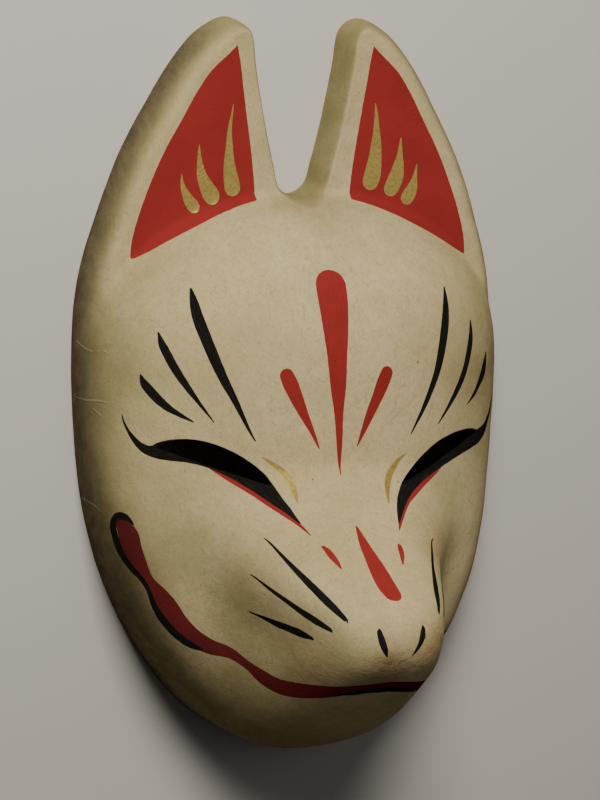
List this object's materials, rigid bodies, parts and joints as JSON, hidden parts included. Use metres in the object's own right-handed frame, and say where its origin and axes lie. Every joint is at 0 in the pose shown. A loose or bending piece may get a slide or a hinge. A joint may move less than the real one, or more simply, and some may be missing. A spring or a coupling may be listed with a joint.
{
  "type": "kitsune mask",
  "caption": "Hollow moulded-paper fox mask with two upright ears, a long muzzle, cut eye slits and painted markings, lying face up on its rim.",
  "frame": {"origin": "middle of the mask's length and width, on the flat rim that it lies on", "axes": "+Z out of the face, +Y from the chin to the ears, +X to the viewer's right"},
  "size_m": [0.1728, 0.2776, 0.1102],
  "materials": {
    "painted_paper": "aged ivory shell-white paint over paper, with vermilion, black and gold brush marks"
  },
  "bodies": {
    "root": {"mask": "painted_paper"}
  },
  "joints": []
}
